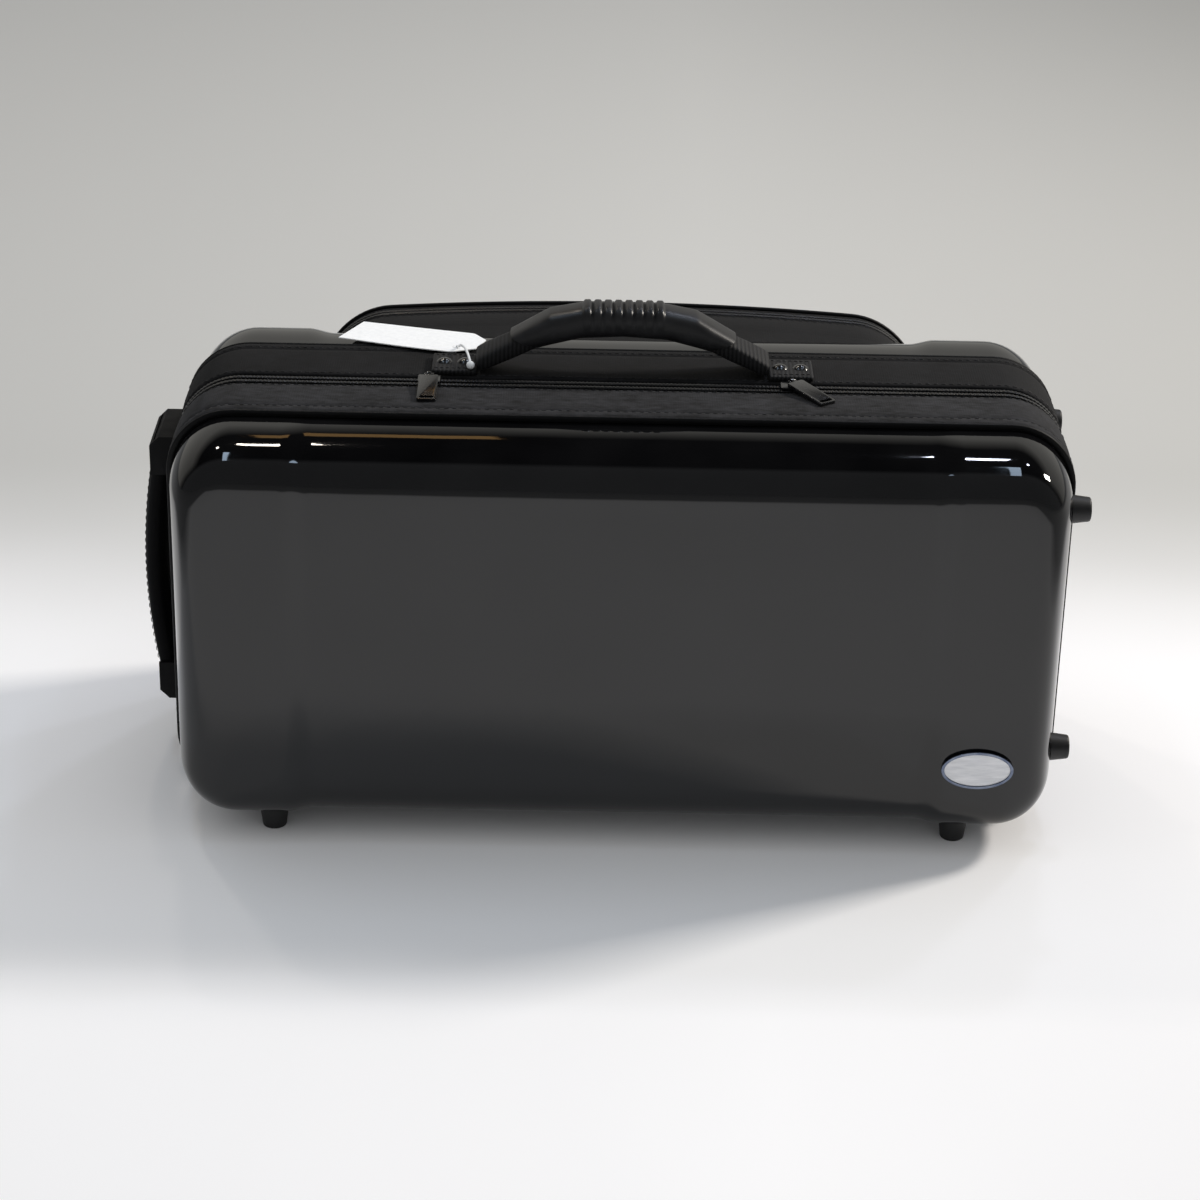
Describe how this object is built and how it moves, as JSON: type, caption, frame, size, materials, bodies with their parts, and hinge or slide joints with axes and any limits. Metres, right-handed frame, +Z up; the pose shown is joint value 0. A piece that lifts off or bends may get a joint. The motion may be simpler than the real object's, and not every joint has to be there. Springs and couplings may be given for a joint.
{
  "type": "trumpet case",
  "caption": "Hard clamshell case for a pair of trumpets, with a zip round the ends and top, a fabric hinge, carrying handles, a back pocket and a lined inside.",
  "frame": {"origin": "middle of the case's footprint, on the floor it stands on", "axes": "+X along the length, to the end with the bumpers, +Y from the lid to the body half and its pocket, +Z up"},
  "size_m": [0.595, 0.2808, 0.317],
  "materials": {
    "gloss_shell": "high gloss gel coat over fibreglass",
    "band_fabric": "charcoal woven polyester over board",
    "binding_tape": "rolled black binding",
    "plush": "black velour over foam",
    "zip_tape": "woven zip tape",
    "zip_teeth": "nylon coil",
    "zip_metal": "black painted zinc",
    "bumper_rubber": "matt",
    "webbing": "ribbed nylon webbing",
    "grip_rubber": "moulded, satin",
    "rivet_metal": "black domed rivets",
    "side_handle_fabric": "padded black ballistic nylon",
    "moulded_caps": "moulded",
    "pocket_fabric": "stiffened black nylon",
    "badge_face": "satin, bare",
    "badge_rim": "bright rim",
    "tag_card": "white coated card, bare",
    "tag_plastic": "white nylon loop"
  },
  "bodies": {
    "body_half": {"rear_shell": "gloss_shell", "rear_band": "band_fabric", "rear_binding": "binding_tape", "rear_lining": "plush", "rear_zip_tape": "zip_tape", "rear_zip_coil": "zip_teeth", "rear_zip_stops": "zip_teeth", "rear_hinge_leaf": "band_fabric", "hinge_welt": "binding_tape", "rear_bottom_feet": "bumper_rubber", "rear_end_feet": "bumper_rubber", "centre_divider": "plush", "bell_cradles": "plush", "valve_cradles": "plush", "mouthpipe_rests": "plush", "accessory_box": "plush", "mouthpiece_rack": "plush", "strap_anchors": "webbing", "handle_tabs": "webbing", "handle_plates": "rivet_metal", "handle_rivets": "rivet_metal", "side_handle_strap": "side_handle_fabric", "side_handle_caps": "moulded_caps", "side_handle_rivets": "rivet_metal", "pocket_wall": "pocket_fabric", "pocket_fixed_row": "zip_teeth", "pocket_hinge_welt": "binding_tape", "hang_tag": "tag_card", "tag_string": "tag_plastic", "tag_lock": "tag_plastic"},
    "lid_half": {"front_shell": "gloss_shell", "front_band": "band_fabric", "front_binding": "binding_tape", "front_lining": "plush", "front_zip_tape": "zip_tape", "front_zip_coil": "zip_teeth", "front_zip_stops": "zip_teeth", "front_hinge_leaf": "band_fabric", "front_bottom_feet": "bumper_rubber", "front_end_feet": "bumper_rubber", "badge_plate": "badge_face", "badge_frame": "badge_rim", "lid_pad": "plush"},
    "carrying_handle": {"handle_webbing": "webbing", "handle_grip": "grip_rubber"},
    "left_slider": {"left_slider": "zip_metal"},
    "left_pull": {"left_pull": "zip_metal"},
    "right_slider": {"right_slider": "zip_metal"},
    "right_pull": {"right_pull": "zip_metal"},
    "pocket_cover": {"pocket_cover": "pocket_fabric", "pocket_cover_row": "zip_teeth", "pocket_piping": "binding_tape"},
    "pocket_slider": {"pocket_slider": "zip_metal"},
    "pocket_pull": {"pocket_pull": "zip_metal"},
    "accessory_lid": {"accessory_lid": "plush"},
    "upper_strap": {"upper_strap": "webbing"},
    "lower_strap": {"lower_strap": "webbing"}
  },
  "joints": [
    {"name": "lid_hinge", "type": "hinge", "parent": "body_half", "child": "lid_half", "pos_m": [0.0095, -0.027, 0.008], "axis": [1, 0, 0], "range_deg": [0, 160]},
    {"name": "handle_swing", "type": "hinge", "parent": "body_half", "child": "carrying_handle", "pos_m": [0.0095, -0.003, 0.2875], "axis": [-1, 0, 0], "range_deg": [-70, 70]},
    {"name": "left_slider_travel", "type": "slide", "parent": "body_half", "child": "left_slider", "axis": [1, 0, 0], "range_m": [-0.107, 0.112]},
    {"name": "left_pull_flip", "type": "hinge", "parent": "left_slider", "child": "left_pull", "pos_m": [-0.1115, -0.027, 0.2763], "axis": [-1, 0, 0], "range_deg": [0, 115]},
    {"name": "right_slider_travel", "type": "slide", "parent": "body_half", "child": "right_slider", "axis": [-1, 0, 0], "range_m": [-0.122, 0.097]},
    {"name": "right_pull_flip", "type": "hinge", "parent": "right_slider", "child": "right_pull", "pos_m": [0.1155, -0.027, 0.2763], "axis": [-0.809, -0.5878, 0], "range_deg": [0, 115]},
    {"name": "pocket_opening", "type": "hinge", "parent": "body_half", "child": "pocket_cover", "pos_m": [0.0095, 0.1255, 0.044], "axis": [-1, 0, 0], "range_deg": [0, 100]},
    {"name": "pocket_slider_travel", "type": "slide", "parent": "body_half", "child": "pocket_slider", "axis": [0, 0, 1], "range_m": [0, 0.08]},
    {"name": "pocket_pull_flip", "type": "hinge", "parent": "pocket_slider", "child": "pocket_pull", "pos_m": [0.215, 0.1255, 0.112], "axis": [0, -1, 0], "range_deg": [0, 110]},
    {"name": "accessory_lid_hinge", "type": "hinge", "parent": "body_half", "child": "accessory_lid", "pos_m": [0.0095, 0.0212, 0.2545], "axis": [-1, 0, 0], "range_deg": [0, 88]},
    {"name": "upper_strap_lift", "type": "hinge", "parent": "body_half", "child": "upper_strap", "pos_m": [0.0095, -0.0115, 0.2512], "axis": [-1, 0, 0], "range_deg": [0, 70]},
    {"name": "lower_strap_lift", "type": "hinge", "parent": "body_half", "child": "lower_strap", "pos_m": [0.0095, -0.0115, 0.0288], "axis": [1, 0, 0], "range_deg": [0, 70]}
  ]
}
